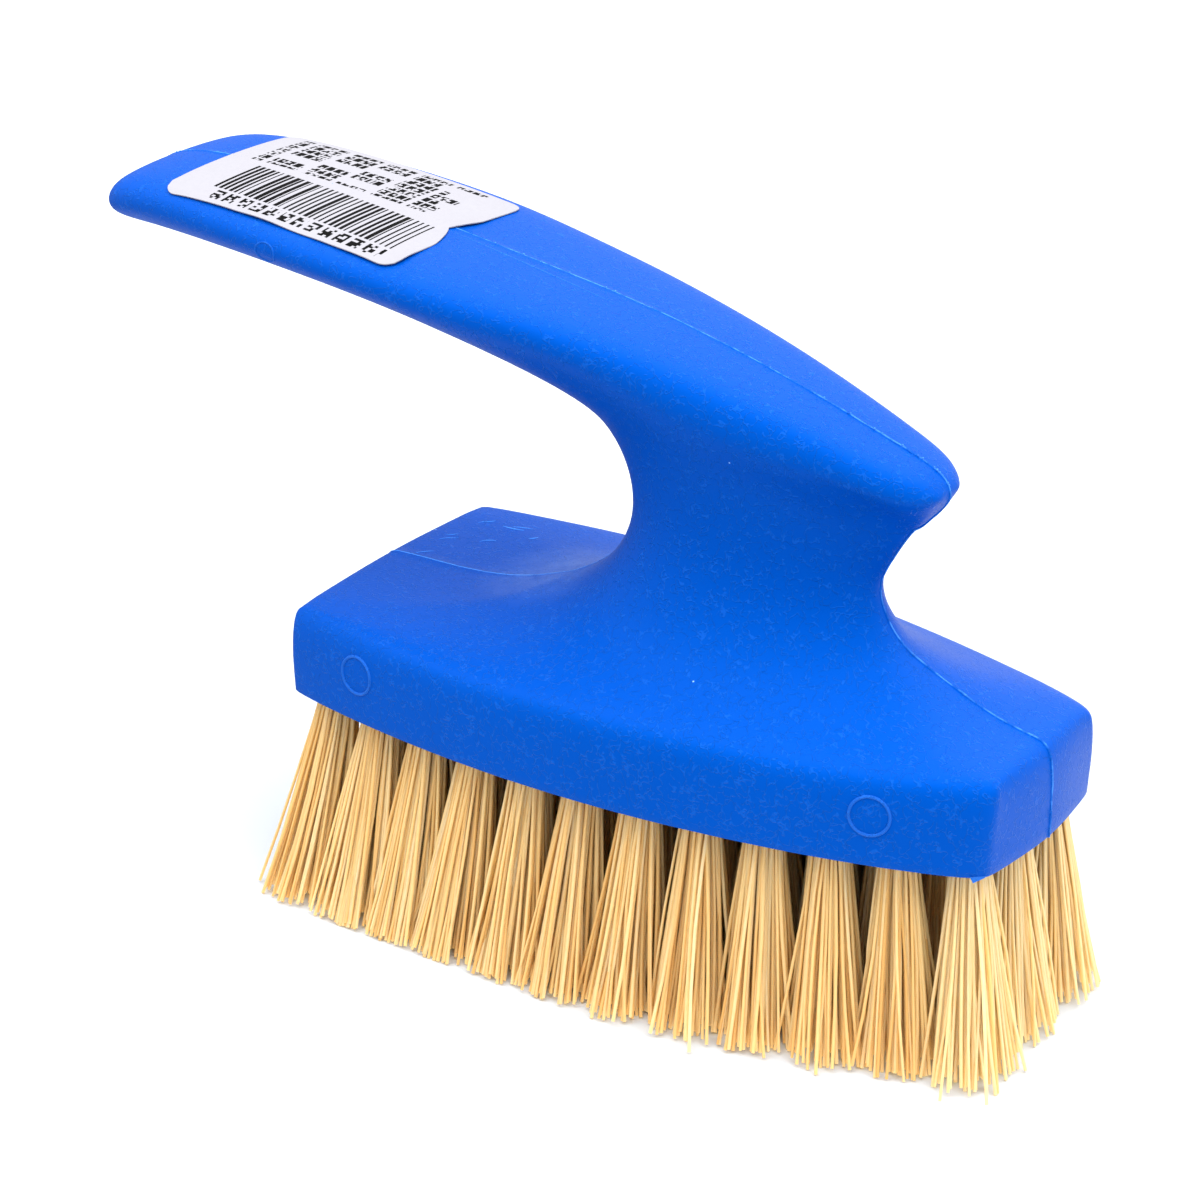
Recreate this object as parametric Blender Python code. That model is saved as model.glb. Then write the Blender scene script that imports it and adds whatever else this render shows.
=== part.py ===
"""Hand laundry brush: a moulded head, neck and arched handle in one piece, tufts of stiff plant
fibre set in blind holes under the head, and a paper label on the handle.

+X runs along the brush towards the nose of the handle, +Y to its left, +Z up. The brush stands on
its fibre tips at z = 0, with the origin under the middle of its overall length.
"""

import math

import bmesh
import bpy
from mathutils import Matrix, Vector
from mathutils.geometry import delaunay_2d_cdt

MM = 0.001

# Brush head
HEAD_LENGTH = 96.2 * MM
HEAD_WIDTH = 49.8 * MM
HEAD_SIDE_HEIGHT = 11.4 * MM
HEAD_EDGE_ROLL = 1.6 * MM
HEAD_END_RECESS = 1.0 * MM

# Handle: the tail overhangs the rear end of the head, the nose overhangs the neck
TAIL_OVERHANG = 34.6 * MM
HANDLE_LENGTH = 115.9 * MM
HANDLE_HEIGHT = 59.8 * MM
HANDLE_WIDTH = 35.4 * MM
HANDLE_CROWN = 0.8 * MM
HANDLE_EDGE_DEPTH = 2.9 * MM

# Neck, at its waist
NECK_LENGTH = 34.2 * MM
NECK_WIDTH = 18.0 * MM
NECK_SETBACK = 41.0 * MM

# Fibre tufts and their blind holes
TRIM_LENGTH = 26.5 * MM
OUTER_TUFT_COUNT = 12
INNER_TUFT_COUNT = 10
END_MARGIN = 4.8 * MM
SIDE_MARGIN = 5.1 * MM
HOLE_DIAMETER = 5.3 * MM
HOLE_DEPTH = 7.5 * MM
HOLE_SIDES = 10
FIT_GAP = 0.3 * MM
END_SPLAY = 2.0 * MM
SIDE_SPLAY = 3.6 * MM
RIM_STRAND_COUNT = 7
STRAND_SIDES = 3
STRAND_THICKNESS = 0.9 * MM
PLUG_SIDES = 8

# Paper label stuck over the top of the handle, set back from its tail
LABEL_LENGTH = 35.9 * MM
LABEL_WIDTH = 26.8 * MM
LABEL_SETBACK = 12.0 * MM
LABEL_OFFSET = -0.5 * MM
LABEL_THICKNESS = 0.3 * MM
LABEL_CORNER = 2.2 * MM
LABEL_END_DIP = 1.7 * MM
LABEL_TURN = math.radians(-1.3)
LABEL_COLUMNS = 10
LABEL_ROWS = 12

OVERALL_LENGTH = HEAD_LENGTH + TAIL_OVERHANG
HEAD_MIDDLE_X = OVERALL_LENGTH / 2 - HEAD_LENGTH / 2
TAIL_X = -OVERALL_LENGTH / 2
NECK_X = OVERALL_LENGTH / 2 - NECK_SETBACK
CUT_OVERRUN = 2.0 * MM
MERGE_DISTANCE = 0.1 * MM

# Half width of the head, as shares: along the length from the rear end, and of half the width
HEAD_OUTLINE_SHARES = (
    (0.000, 0.818), (0.024, 0.838), (0.070, 0.880), (0.145, 0.930), (0.250, 0.970), (0.340, 0.992),
    (0.440, 1.000), (0.520, 0.985), (0.625, 0.935), (0.705, 0.875), (0.800, 0.795), (0.895, 0.680),
    (0.965, 0.575), (1.000, 0.510),
)

# Handle stations behind the neck: along the handle from its tail, height of the top and of the
# underside as shares of the handle height, half width as a share of half the handle width
TAIL_STATION_SHARES = (
    (0.000, 0.938, 0.872, 0.55),
    (0.018, 0.975, 0.858, 0.790),
    (0.075, 1.000, 0.856, 0.855),
    (0.180, 0.991, 0.854, 0.930),
    (0.300, 0.973, 0.845, 0.985),
    (0.405, 0.952, 0.817, 0.970),
    (0.500, 0.925, 0.762, 0.895),
)
# Handle stations over the neck: along the handle, top height, side height, half width
NECK_STATION_SHARES = (
    (0.590, 0.902, 0.834, 0.800),
    (0.680, 0.870, 0.800, 0.708),
    (0.765, 0.830, 0.758, 0.630),
    (0.850, 0.783, 0.710, 0.535),
    (0.930, 0.730, 0.662, 0.440),
)
NOSE_STATION_SHARES = (
    (0.975, 0.703, 0.587, 0.345),
    (0.996, 0.672, 0.632, 0.15),
)
# Neck columns from its rear edge to its front edge: each point as shares of the neck's length from
# its middle, of half its width, and of the handle height, from under the handle to the head
NECK_COLUMN_SHARES = (
    ((-0.660, 0.84, 0.712), (-0.720, 0.00, 0.637), (-0.556, 0.00, 0.568), (-0.486, 0.00, 0.470),
     (-0.556, 0.00, 0.368), (-0.750, 0.00, 0.272)),
    ((-0.345, 1.22, 0.728), (-0.365, 0.98, 0.658), (-0.375, 0.80, 0.570), (-0.380, 0.75, 0.475),
     (-0.415, 0.90, 0.385), (-0.480, 1.14, 0.310)),
    ((-0.020, 1.16, 0.700), (-0.010, 1.06, 0.635), (0.005, 1.01, 0.558), (0.010, 1.00, 0.475),
     (0.010, 1.08, 0.392), (0.010, 1.28, 0.317)),
    ((0.374, 0.89, 0.650), (0.468, 0.51, 0.590), (0.485, 0.36, 0.520), (0.480, 0.31, 0.453),
     (0.485, 0.38, 0.380), (0.509, 0.76, 0.308)),
    ((0.585, 0.38, 0.609), (0.678, 0.00, 0.547), (0.585, 0.00, 0.487), (0.503, 0.00, 0.433),
     (0.520, 0.00, 0.383), (0.632, 0.00, 0.309)),
)
# Head columns: along the head, height of the seam, ridge (out, up), flank (out, up) and edge
# height. Widths are shares of the half width there, heights are shares of the side height
HEAD_REAR_SHARES = (
    (0.000, 1.010, 0.84, 0.965, 0.92, 0.950, 0.940),
    (0.024, 1.055, 0.84, 1.010, 0.92, 0.990, 0.970),
    (0.120, 1.045, 0.68, 1.045, 0.86, 1.005, 0.985),
    (0.220, 1.120, 0.40, 1.150, 0.74, 1.06, 1.000),
)
HEAD_NECK_SHARES = (
    (0.300, 0.19, 1.350, 0.62, 1.120, 1.000),
    (0.400, 0.53, 1.360, 0.74, 1.140, 1.000),
    (0.560, 0.59, 1.370, 0.78, 1.140, 1.000),
    (0.730, 0.55, 1.350, 0.75, 1.120, 0.985),
    (0.830, 0.27, 1.380, 0.62, 1.140, 0.980),
)
HEAD_NOSE_SHARES = (
    (0.910, 1.150, 0.45, 1.120, 0.76, 1.060, 0.990),
    (0.972, 1.065, 0.60, 1.050, 0.82, 1.030, 0.985),
    (1.000, 1.000, 0.60, 0.990, 0.82, 0.980, 0.965),
)
LABEL_DIP_REACH_SHARE = 0.5
UNDERSIDE_MIDDLE_SHARE = 0.5
SECTION_CROWN_SHARE = 0.5
SECTION_SHOULDER_SHARE = 0.88
TAIL_SECTION_UNDER_SHARE = 0.80
NOSE_SECTION_UNDER_SHARE = 0.55
SIDE_CREASE_SHARE = 1.0
CORNER_CREASE_SHARE = 0.5
TUFT_FILL_SHARE = 0.46
ROOT_FILL_SHARE = 0.93
ROOT_TOLERANCE_SHARE = 0.0001


def clear_scene():
    for thing in list(bpy.data.objects):
        bpy.data.objects.remove(thing, do_unlink=True)


def make_material(name, colour, roughness, metallic=0.0):
    material = bpy.data.materials.new(name)
    material.use_nodes = True
    shader = material.node_tree.nodes["Principled BSDF"]
    shader.inputs["Base Color"].default_value = (*colour, 1.0)
    shader.inputs["Roughness"].default_value = roughness
    shader.inputs["Metallic"].default_value = metallic
    return material


def blue_polypropylene():
    return make_material("blue polypropylene", (0.006, 0.130, 0.800), 0.38)


def straw_fibre():
    return make_material("straw coloured plant fibre", (0.780, 0.520, 0.220), 0.65)


def white_paper():
    return make_material("white label paper", (0.900, 0.900, 0.920), 0.55)


def object_from(mesh_data, name, material):
    mesh = bpy.data.meshes.new(name)
    mesh_data.to_mesh(mesh)
    mesh_data.free()
    mesh.materials.append(material)
    thing = bpy.data.objects.new(name, mesh)
    bpy.context.scene.collection.objects.link(thing)
    return thing


def share_along(table, share):
    """Value of a two-column table of shares at one place, straight between its points."""
    for (left, low), (right, high) in zip(table, table[1:]):
        if share <= right:
            return low + (high - low) * max(share - left, 0) / (right - left)
    return table[-1][1]


def head_half_width(share):
    return HEAD_WIDTH / 2 * share_along(HEAD_OUTLINE_SHARES, share)


def head_x(share):
    return HEAD_MIDDLE_X + HEAD_LENGTH * (share - 1 / 2)


def handle_x(share):
    return TAIL_X + HANDLE_LENGTH * share


def handle_top_rows(x, top, half, side):
    """Rows of one handle station from the seam over the crown to the widest line of the side."""
    shoulder = top - HANDLE_CROWN
    return [
        (x, 0, top),
        (x, half * SECTION_CROWN_SHARE, top - HANDLE_CROWN * SECTION_CROWN_SHARE ** 2),
        (x, half * SECTION_SHOULDER_SHARE, shoulder),
        (x, half, side),
    ]


def handle_station(shares, section_under_share):
    """Half cross-section of the free handle, from the seam on top to the seam below."""
    along, top_share, under_share, half_share = shares
    x = handle_x(along)
    top = HANDLE_HEIGHT * top_share
    under = HANDLE_HEIGHT * under_share
    half = HANDLE_WIDTH / 2 * half_share
    side = max(top - HANDLE_CROWN - HANDLE_EDGE_DEPTH, (top + under) / 2)
    rows = handle_top_rows(x, top, half, side)
    rows.append((x, half * section_under_share, under + (side - under) * (1 - section_under_share)))
    rows.append((x, 0, under))
    return rows


def head_edge_rows(x, recess, half, edge):
    """Rows of one head column from the upper edge down the side and in under the head."""
    out = x - recess
    middle = half * UNDERSIDE_MIDDLE_SHARE
    return [
        (out, half, edge - HEAD_EDGE_ROLL),
        (out, half, 0),
        (x - recess * UNDERSIDE_MIDDLE_SHARE, middle, 0),
        (x, 0, 0),
    ]


def head_column(shares, recess):
    """Half cross-section of the head clear of the neck, from the seam on top to the seam below."""
    along, seam, ridge_out, ridge_up, flank_out, flank_up, edge_share = shares
    x = head_x(along)
    half = head_half_width(along)
    edge = HEAD_SIDE_HEIGHT * edge_share
    rows = [
        (x, 0, HEAD_SIDE_HEIGHT * seam),
        (x - recess * ridge_out, half * ridge_out, HEAD_SIDE_HEIGHT * ridge_up),
        (x - recess * flank_out, half * flank_out, HEAD_SIDE_HEIGHT * flank_up),
        (x - recess, half - HEAD_EDGE_ROLL, edge),
    ]
    return rows + head_edge_rows(x, recess, half, edge)


def neck_column(station, column, head_share):
    """Column from the top of the handle down the neck and out over the head."""
    along, top_share, side_share, half_share = station
    half = HANDLE_WIDTH / 2 * half_share
    rows = handle_top_rows(handle_x(along), HANDLE_HEIGHT * top_share, half, HANDLE_HEIGHT * side_share)
    for forward, out, up in column:
        rows.append((NECK_X + NECK_LENGTH * forward, NECK_WIDTH / 2 * out, HANDLE_HEIGHT * up))
    head_along, ridge_out, ridge_up, flank_out, flank_up, edge_share = head_share
    x = head_x(head_along)
    half = head_half_width(head_along)
    edge = HEAD_SIDE_HEIGHT * edge_share
    rows.append((x, half * ridge_out, HEAD_SIDE_HEIGHT * ridge_up))
    rows.append((x, half * flank_out, HEAD_SIDE_HEIGHT * flank_up))
    rows.append((x, half - HEAD_EDGE_ROLL, edge))
    return rows + head_edge_rows(x, 0, half, edge)


def body_cage():
    """Left half of the body's control cage, open along the seam plane at y = 0."""
    cage = bmesh.new()

    def column(points):
        return [cage.verts.new((x, y, TRIM_LENGTH + z)) for x, y, z in points]

    def strip(first, second):
        for upper, lower in zip(range(len(first) - 1), range(1, len(first))):
            cage.faces.new((first[upper], first[lower], second[lower], second[upper]))

    tail = [
        column(handle_station(shares, TAIL_SECTION_UNDER_SHARE)) for shares in TAIL_STATION_SHARES
    ]
    neck = [
        column(neck_column(*shares))
        for shares in zip(NECK_STATION_SHARES, NECK_COLUMN_SHARES, HEAD_NECK_SHARES)
    ]
    nose = [
        column(handle_station(shares, NOSE_SECTION_UNDER_SHARE)) for shares in NOSE_STATION_SHARES
    ]
    rear = [
        column(head_column(shares, -HEAD_END_RECESS if shares[0] == 0 else 0))
        for shares in HEAD_REAR_SHARES
    ]
    front = [
        column(head_column(shares, HEAD_END_RECESS if shares[0] == 1 else 0))
        for shares in HEAD_NOSE_SHARES
    ]

    handle_rows = len(tail[0])
    head_rows = len(rear[0])
    handle = tail + [rows[:handle_rows] for rows in neck] + nose
    head = rear + [rows[-head_rows:] for rows in neck] + front
    between = [rows[handle_rows - 1:len(rows) - head_rows + 1] for rows in neck]
    for columns in (handle, head, between):
        for first, second in zip(columns, columns[1:]):
            strip(first, second)

    for end in (handle[0], handle[-1]):
        cage.faces.new((end[0], end[1], end[4], end[5]))
        cage.faces.new(end[1:5])
    for end in (head[0], head[-1]):
        cage.faces.new((end[0], end[1], end[6], end[7]))
        cage.faces.new((end[1], end[2], end[5], end[6]))
        cage.faces.new(end[2:6])

    crease = cage.edges.layers.float.new("crease_edge")
    lower_edge = [rows[-3] for rows in head]
    for first, second in zip(lower_edge, lower_edge[1:]):
        cage.edges.get((first, second))[crease] = SIDE_CREASE_SHARE
    for end in (head[0], head[-1]):
        for first, second in zip(end[-3:], end[-2:]):
            cage.edges.get((first, second))[crease] = SIDE_CREASE_SHARE
        cage.edges.get((end[-4], end[-3]))[crease] = CORNER_CREASE_SHARE
    bmesh.ops.recalc_face_normals(cage, faces=cage.faces)
    return cage


def add_body(material):
    """Head, neck and handle: one moulding, symmetric about its seam plane."""
    body = object_from(body_cage(), "moulded_body", material)
    mirror = body.modifiers.new("two mould halves", "MIRROR")
    mirror.use_axis = (False, True, False)
    mirror.use_clip = True
    mirror.merge_threshold = MERGE_DISTANCE
    smooth = body.modifiers.new("rounding", "SUBSURF")
    smooth.levels = 1
    smooth.render_levels = 1
    smooth.boundary_smooth = "PRESERVE_CORNERS"
    body.data.shade_smooth()
    return body


def label_plan(along, across):
    """Place on the flat label, from its shares along and across, in the label's own frame."""
    from_end = LABEL_LENGTH * min(along, 1 - along)
    short = LABEL_CORNER - math.sqrt(LABEL_CORNER ** 2 - max(LABEL_CORNER - from_end, 0) ** 2)
    dip = LABEL_END_DIP * max(1 - abs(across) / LABEL_DIP_REACH_SHARE, 0) ** 2
    return along * (LABEL_LENGTH - dip), across * (LABEL_WIDTH / 2 - short)


def label_columns():
    """Shares along the label: even steps between the corners, and one more inside each corner."""
    corner = LABEL_CORNER / LABEL_LENGTH
    turned = corner * (1 - math.cos(math.pi / 4))
    even = [corner + (1 - 2 * corner) * step / LABEL_COLUMNS for step in range(LABEL_COLUMNS + 1)]
    return [0, turned] + even + [1 - turned, 1]


def add_label(body, material):
    """Label sheet laid level over the handle, drawn on to its top and given its thickness."""
    sheet = bmesh.new()
    start = Vector((TAIL_X + LABEL_SETBACK, LABEL_OFFSET, TRIM_LENGTH + HANDLE_HEIGHT))
    columns = []
    for along in label_columns():
        column = []
        for row in range(LABEL_ROWS + 1):
            x, y = label_plan(along, 2 * row / LABEL_ROWS - 1)
            turned = Vector((x - LABEL_LENGTH / 2, y)) @ Matrix.Rotation(-LABEL_TURN, 2)
            column.append(sheet.verts.new(start + Vector((turned.x + LABEL_LENGTH / 2, turned.y, 0))))
        columns.append(column)
    for first, second in zip(columns, columns[1:]):
        for row in range(LABEL_ROWS):
            sheet.faces.new((first[row], second[row], second[row + 1], first[row + 1]))
    label = object_from(sheet, "paper_label", material)
    stuck = label.modifiers.new("stuck to the handle", "SHRINKWRAP")
    stuck.target = body
    stuck.wrap_method = "TARGET_PROJECT"
    stuck.wrap_mode = "ABOVE_SURFACE"
    stuck.offset = FIT_GAP
    paper = label.modifiers.new("paper", "SOLIDIFY")
    paper.thickness = LABEL_THICKNESS
    paper.offset = 1
    label.data.shade_smooth()
    return label


def row_places(count, across, start):
    """Roots of one row of tufts, from the rear end to the nose."""
    pitch = (HEAD_LENGTH - 2 * END_MARGIN) / (OUTER_TUFT_COUNT - 1)
    places = []
    for number in range(count):
        x = head_x(0) + END_MARGIN + pitch * (start + number)
        share = (x - head_x(0)) / HEAD_LENGTH
        places.append((x, across * (head_half_width(share) - SIDE_MARGIN)))
    return places


def tuft_places():
    """Name and root of every tuft: outer and middle rows in step, inner rows half a pitch on."""
    rows = (
        ("right_outer", OUTER_TUFT_COUNT, -1, 0),
        ("right_inner", INNER_TUFT_COUNT, -1 / 2, 1 / 2),
        ("middle", OUTER_TUFT_COUNT, 0, 0),
        ("left_inner", INNER_TUFT_COUNT, 1 / 2, 1 / 2),
        ("left_outer", OUTER_TUFT_COUNT, 1, 0),
    )
    places = []
    for row, count, across, start in rows:
        for number, (x, y) in enumerate(row_places(count, across, start), 1):
            places.append((f"tuft_{row}_{number:02d}", x, y))
    return places


def splayed(x, y, height):
    """Where a tuft's centre line, fanned out from its root, crosses a height above the tips."""
    drop = (TRIM_LENGTH - height) / TRIM_LENGTH
    along = (x - HEAD_MIDDLE_X) * (1 + drop * END_SPLAY / (HEAD_LENGTH / 2))
    across = y * (1 + drop * SIDE_SPLAY / (HEAD_WIDTH / 2))
    return Vector((HEAD_MIDDLE_X + along, across, height))


def ring(centre, radius, sides, turn=0.0):
    points = []
    for number in range(sides):
        angle = turn + 2 * math.pi * number / sides
        points.append(centre + Vector((radius * math.cos(angle), radius * math.sin(angle), 0)))
    return points


def tube_between(mesh, low, high):
    """Side faces between two rings of new points, with both rings returned."""
    below = [mesh.verts.new(point) for point in low]
    above = [mesh.verts.new(point) for point in high]
    count = len(below)
    for number in range(count):
        following = (number + 1) % count
        mesh.faces.new((below[number], below[following], above[following], above[number]))
    return below, above


def cutter_red():
    return make_material("cutter red", (1, 0, 0), 0.5)


def add_hole_cutters(places):
    """One closed cutter for every blind hole, all in one mesh."""
    mesh = bmesh.new()
    for _, x, y in places:
        low = ring(splayed(x, y, TRIM_LENGTH - CUT_OVERRUN), HOLE_DIAMETER / 2, HOLE_SIDES)
        high = ring(splayed(x, y, TRIM_LENGTH + HOLE_DEPTH), HOLE_DIAMETER / 2, HOLE_SIDES)
        below, above = tube_between(mesh, low, high)
        mesh.faces.new(list(reversed(below)))
        mesh.faces.new(above)
    cutters = object_from(mesh, "tuft_hole_cutters", cutter_red())
    cutters.hide_render = True
    cutters.display_type = "WIRE"
    return cutters


def drill_holes(body, cutters):
    drill = body.modifiers.new("tuft holes", "BOOLEAN")
    drill.operation = "DIFFERENCE"
    drill.solver = "EXACT"
    drill.object = cutters


def nearest_distance(x, y, places):
    here = splayed(x, y, 0)
    return min(
        (splayed(other_x, other_y, 0) - here).length
        for _, other_x, other_y in places
        if (other_x, other_y) != (x, y)
    )


def close_round_roots(mesh, loops, centre, scale):
    """Flat face between the rim of a plug, the first loop, and the roots of its strands."""
    corners = [vert for loop in loops for vert in loop]
    owners = [number for number, loop in enumerate(loops) for _ in loop]
    edges = []
    for loop in loops:
        first = len(edges)
        edges += [(first + step, first + (step + 1) % len(loop)) for step in range(len(loop))]
    flat = [((vert.co - centre) / scale).to_2d() for vert in corners]
    triangles = delaunay_2d_cdt(flat, edges, [], 1, ROOT_TOLERANCE_SHARE)[2]
    for triangle in triangles:
        if len({owners[index] for index in triangle}) > 1 or owners[triangle[0]] == 0:
            mesh.faces.new([corners[index] for index in triangle])


def add_tuft(name, x, y, places, material):
    """One tuft: its folded root fills the hole, and its strands fan out to tips cut flat."""
    plug_radius = HOLE_DIAMETER / 2 - FIT_GAP
    strand_radius = STRAND_THICKNESS / 2 / math.sin(math.pi / STRAND_SIDES)
    root_room = plug_radius * math.cos(math.pi / PLUG_SIDES) - strand_radius
    root_circle = root_room * ROOT_FILL_SHARE
    tip_circle = nearest_distance(x, y, places) * TUFT_FILL_SHARE - strand_radius
    mesh = bmesh.new()
    mouth = splayed(x, y, TRIM_LENGTH)
    deep = splayed(x, y, TRIM_LENGTH + HOLE_DEPTH - FIT_GAP)
    below, above = tube_between(
        mesh, ring(mouth, plug_radius, PLUG_SIDES), ring(deep, plug_radius, PLUG_SIDES)
    )
    mesh.faces.new(above)
    loops = [below]
    tip = splayed(x, y, 0)
    offsets = [Vector((0, 0, 0))] + ring(Vector((0, 0, 0)), 1, RIM_STRAND_COUNT)
    for number, offset in enumerate(offsets):
        turn = math.atan2(offset.y, offset.x)
        low, high = tube_between(
            mesh,
            ring(tip + offset * tip_circle, strand_radius, STRAND_SIDES, turn),
            ring(mouth + offset * root_circle, strand_radius, STRAND_SIDES, turn),
        )
        mesh.faces.new(list(reversed(low)))
        loops.append(high)
    close_round_roots(mesh, loops, mouth, plug_radius)
    bmesh.ops.recalc_face_normals(mesh, faces=mesh.faces)
    return object_from(mesh, name, material)


def build():
    clear_scene()
    body = add_body(blue_polypropylene())
    places = tuft_places()
    drill_holes(body, add_hole_cutters(places))
    add_label(body, white_paper())
    fibre = straw_fibre()
    for name, x, y in places:
        add_tuft(name, x, y, places, fibre)


build()
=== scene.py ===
"""Looks of a hand laundry brush: moulded body, fibre tufts and paper label, around its CAD frame."""

import math
import random

import bpy
from mathutils import Matrix, Vector, noise


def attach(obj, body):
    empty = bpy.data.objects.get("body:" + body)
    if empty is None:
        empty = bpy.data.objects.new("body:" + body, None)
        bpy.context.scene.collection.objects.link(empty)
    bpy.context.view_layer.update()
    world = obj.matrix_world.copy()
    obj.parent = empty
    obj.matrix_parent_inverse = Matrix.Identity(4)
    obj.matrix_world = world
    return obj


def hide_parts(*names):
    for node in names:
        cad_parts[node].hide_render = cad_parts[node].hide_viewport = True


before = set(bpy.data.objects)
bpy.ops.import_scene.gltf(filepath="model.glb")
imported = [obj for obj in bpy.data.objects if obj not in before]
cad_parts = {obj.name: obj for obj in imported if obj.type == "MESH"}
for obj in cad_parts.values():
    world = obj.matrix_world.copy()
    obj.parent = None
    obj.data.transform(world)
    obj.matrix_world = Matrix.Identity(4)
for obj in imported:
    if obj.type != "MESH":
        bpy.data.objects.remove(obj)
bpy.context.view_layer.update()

# Body
# Head, neck and arched handle are one injection moulding in blue polypropylene. The two halves of
# its mould met on the middle plane and left a fine raised seam all round. The tufts' blind holes
# are drilled from below afterwards.

MM = 0.001
MERGE_DISTANCE = 0.01
UNDERSIDE = 26.5
CROWN = 0.8
SHOULDER_SHARE = 0.88
UNDER_SHARE = 0.80
NOSE_UNDER_SHARE = 0.55
EDGE_DEPTH = 2.9
EDGE_ROLL = 1.6
END_RECESS = 1.0
CORNER_EASE = 0.3
RIM_RADIUS = 0.45
LOWER_CREASE = 1.0
CORNER_CREASE = 0.3
TABLE_CREASE = 0.9
# The seam's ridge has a share of its height behind and gains a whole one over this stretch, and
# small beads of flash stand on it
SEAM_WIDTH = 0.34
SEAM_HEIGHT = 0.13
SEAM_REAR_SHARE = 0.6
SEAM_GROWTH = (10, 40)
SEAM_UNEVEN_SHARE = 0.7
SEAM_UNEVEN_LENGTH = 2.5
SEAM_BEADS = 45
BEADS_ABOVE = 66
BEAD_RADIUS = 0.12
BEAD_SIZE_SHARES = (0.6, 1.3)
BEAD_OFFSET = 0.06
# Ejector pin marks on the near mould half: rim of a mark of full size, then places and radii
PIN_MARK_RIM = 0.20
PIN_MARK = 2.4
PIN_MARKS = (
    ((-17.6, -22.7, 32.7), PIN_MARK), ((51.4, -17.9, 32.8), PIN_MARK), ((-35.4, -16.4, 81.2), 1.5),
)
# Both ends of a second faint line beside the seam, then of the scuffs on the table behind the neck
WITNESS_LINE = ((-19.5, -1.1, 83.4), (6.0, -2.6, 80.0))
WITNESS_RADIUS = 0.06
SCUFFS = (
    ((-25.1, 13.0, 38.2), (-23.5, 14.3, 38.3)), ((-25.0, 13.8, 38.2), (-23.6, 14.8, 38.3)),
    ((-21.7, 13.8, 38.4), (-18.4, 13.9, 38.5)), ((-20.5, 14.3, 38.4), (-17.8, 15.1, 38.5)),
    ((-26.1, 5.7, 38.3), (-24.2, 7.5, 38.3)), ((-26.4, 7.6, 38.3), (-25.1, 8.8, 38.3)),
    ((-21.2, 7.9, 38.4), (-19.5, 9.2, 38.5)), ((-16.2, 11.7, 38.8), (-15.3, 12.7, 38.8)),
    ((-25.9, 0.6, 38.3), (-24.3, 2.3, 38.4)),
)
SCUFF_RADIUS = 0.08
SCUFF_SIZE_SHARES = (0.7, 1.2)
SCUFF_BOW = 0.35
LINE_END_SHARE = 0.3
# Thin flake of flash under the near corner of the nose, as two columns of points
FLASH = (((62.4, -13.9, 26.7), (62.8, -13.8, 26.0)), ((63.8, -12.7, 26.7), (63.7, -12.8, 26.5)))
FLASH_THICKNESS = 0.12
HOLE_DIAMETER = 5.3
HOLE_DEPTH = 7.5
DRILL_OVERRUN = 2

# Handle sections in mm: place along the brush, top, underside and half width
TAIL_SECTIONS = (
    (-65.4, 82.6, 78.6, 9.7), (-63.3, 84.8, 77.8, 14.0), (-56.7, 86.3, 77.7, 15.1),
    (-44.5, 85.8, 77.6, 16.5), (-30.6, 84.7, 77.0, 17.4), (-18.5, 83.4, 75.4, 17.2),
    (-7.4, 81.8, 72.1, 15.8),
)
NOSE_SECTIONS = ((47.6, 68.5, 61.6, 6.1), (50.0, 66.7, 64.3, 2.7))
# Handle sections over the neck: place, top, widest line and half width
NECK_TOPS = (
    (3.0, 80.4, 76.4, 14.2), (13.4, 78.5, 74.3, 12.5), (23.3, 76.1, 71.8, 11.2),
    (33.1, 73.3, 69.0, 9.5), (42.4, 70.2, 66.1, 7.8),
)
# Neck columns from its rear edge to its front edge, each from under the handle down to the head
NECK_SIDES = (
    ((1.8, 7.6, 69.1), (-0.2, 0, 64.6), (5.4, 0, 60.5), (7.8, 0, 54.6), (5.4, 0, 48.5),
     (-1.3, 0, 42.8)),
    ((12.6, 11.0, 70.0), (11.9, 8.8, 65.8), (11.6, 7.2, 60.6), (11.4, 6.8, 54.9), (10.2, 8.1, 49.5),
     (8.0, 10.3, 45.0)),
    ((23.7, 10.4, 68.4), (24.1, 9.5, 64.5), (24.6, 9.1, 59.9), (24.7, 9.0, 54.9), (24.7, 9.7, 49.9),
     (24.7, 11.5, 45.5)),
    ((37.2, 8.0, 65.4), (40.4, 4.6, 61.8), (41.0, 3.2, 57.6), (40.8, 2.8, 53.6), (41.0, 3.4, 49.2),
     (41.8, 6.8, 44.9)),
    ((44.4, 3.4, 62.9), (47.6, 0, 59.2), (44.4, 0, 55.6), (41.6, 0, 52.4), (42.2, 0, 49.4),
     (46.0, 0, 45.0)),
)
# Head sections: place, half width, height of the edge, then points out and up across its top
HEAD_REAR = (
    (-30.8, 20.4, 37.2, (0, 38.0), (17.1, 37.5), (18.7, 37.3)),
    (-28.5, 20.9, 37.6, (0, 38.5), (16.0, 38.1), (19.2, 37.8)),
    (-19.3, 22.7, 37.7, (0, 38.4), (14.4, 38.4), (19.6, 38.0)),
    (-9.6, 23.9, 37.9, (0, 39.2), (9.4, 39.4), (17.7, 38.6)),
)
HEAD_SIDES = (
    (-1.9, 24.5, 37.9, (4.6, 41.9), (15.2, 39.3)),
    (7.7, 24.8, 37.9, (13.2, 42.0), (18.4, 39.5)),
    (23.1, 24.1, 37.9, (14.2, 42.1), (18.8, 39.5)),
    (39.4, 21.3, 37.7, (11.7, 41.9), (15.9, 39.3)),
    (49.0, 18.9, 37.7, (5.1, 42.2), (11.7, 39.5)),
)
HEAD_NOSE = (
    (56.7, 16.4, 37.8, (0, 39.6), (7.4, 39.3), (12.4, 38.6)),
    (62.7, 14.0, 37.7, (0, 38.6), (8.4, 38.5), (11.5, 38.2)),
    (65.4, 12.7, 37.5, (0, 37.9), (7.6, 37.8), (10.4, 37.7)),
)


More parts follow.
